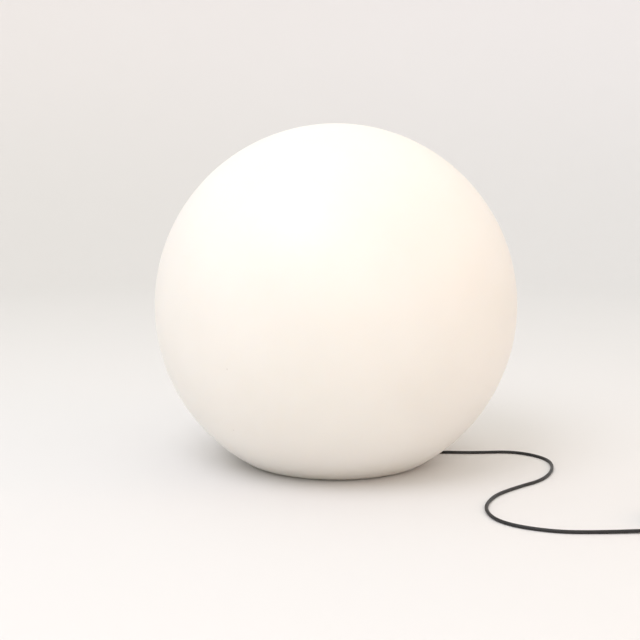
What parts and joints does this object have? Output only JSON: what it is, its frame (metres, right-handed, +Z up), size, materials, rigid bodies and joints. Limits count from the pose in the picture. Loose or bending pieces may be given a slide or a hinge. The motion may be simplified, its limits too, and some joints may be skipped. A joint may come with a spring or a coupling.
{
  "type": "garden globe light",
  "caption": "Large white garden globe light: a flat-bottomed translucent shell that lifts off a base pan with lamp column, screw-in LED lamp, cable gland and outdoor flex with plug.",
  "frame": {"origin": "on the ground, under the axis of the globe, in the plane of its flat base", "axes": "+Z up along the globe's axis, +X towards the side where the flex leaves the base, +Y away from the picture's camera"},
  "size_m": [1.0353, 0.8767, 0.7],
  "materials": {
    "shell_plastic": "satin, translucent rotomoulded polyethylene",
    "pan_plastic": "fine texture, glass-filled",
    "gasket_rubber": "closed-cell sheet",
    "foot_rubber": "matt",
    "stainless_steel": "bright",
    "gland_nylon": "satin",
    "flex_rubber": "satin",
    "insulation_brown": "satin",
    "insulation_blue": "satin",
    "terminal_plastic": "satin",
    "brass": "turned",
    "column_plastic": "satin",
    "zinc_steel": "zinc plated",
    "holder_plastic": "satin thermoset",
    "holder_ceramic": "unglazed",
    "nickel_brass": "nickel plated",
    "cap_aluminium": "bright",
    "lamp_insulator": "glossy",
    "lamp_housing_plastic": "semi gloss",
    "lamp_dome_plastic": "opal, frosted",
    "board_white": "white solder mask",
    "chip_phosphor": "silicone over phosphor",
    "board_green": "solder mask",
    "driver_black": "sleeved",
    "tie_fabric": "hook and loop",
    "plug_rubber": "satin"
  },
  "bodies": {
    "base": {"base_pan": "pan_plastic", "pan_gasket": "gasket_rubber", "foot_pads": "foot_rubber", "shell_screws": "stainless_steel", "shell_washers": "stainless_steel", "gland_washer": "gasket_rubber", "gland_body": "gland_nylon", "gland_seal": "gasket_rubber", "gland_cap": "gland_nylon", "gland_locknut": "gland_nylon", "vent_plug": "gland_nylon", "sheath_stub": "flex_rubber", "supply_core_brown": "insulation_brown", "supply_core_blue": "insulation_blue", "terminal_block": "terminal_plastic", "terminal_tubes": "brass", "terminal_screws": "zinc_steel", "block_screw": "zinc_steel", "lead_brown": "insulation_brown", "lead_blue": "insulation_blue", "lamp_column": "column_plastic", "column_screws": "zinc_steel", "holder_nipple": "zinc_steel", "nipple_nuts": "zinc_steel", "holder_base": "holder_plastic", "holder_core": "holder_ceramic", "holder_terminals": "brass", "centre_contact": "nickel_brass", "holder_sleeve": "nickel_brass", "holder_skirt": "holder_plastic", "cord": "flex_rubber", "cord_coil": "flex_rubber", "coil_ties": "tie_fabric", "cord_end": "flex_rubber", "plug_sleeve": "plug_rubber", "plug_body": "plug_rubber", "plug_pins": "nickel_brass"},
    "globe": {"globe_shell": "shell_plastic", "globe_well": "shell_plastic", "shell_inserts": "brass"},
    "bulb_foot": {"bulb_tip": "nickel_brass", "bulb_insulator": "lamp_insulator"},
    "bulb": {"bulb_cap": "cap_aluminium", "bulb_housing": "lamp_housing_plastic", "bulb_dome": "lamp_dome_plastic", "led_board": "board_white", "led_chips": "chip_phosphor", "driver_board": "board_green", "driver_parts": "driver_black"}
  },
  "joints": [
    {"name": "globe_lift", "type": "slide", "parent": "base", "child": "globe", "axis": [0, 0, 1], "range_m": [0, 0.4]},
    {"name": "bulb_lift", "type": "slide", "parent": "base", "child": "bulb_foot", "axis": [0, 0, 1], "range_m": [0, 0.0182]},
    {"name": "bulb_turn", "type": "hinge", "parent": "bulb_foot", "child": "bulb", "pos_m": [0, 0, 0.25], "axis": [0, 0, 1], "range_deg": [0, 1800]}
  ],
  "couplings": [
    {"joint": "bulb_lift", "follows": "bulb_turn", "m_per_rad": 0.00057757}
  ]
}
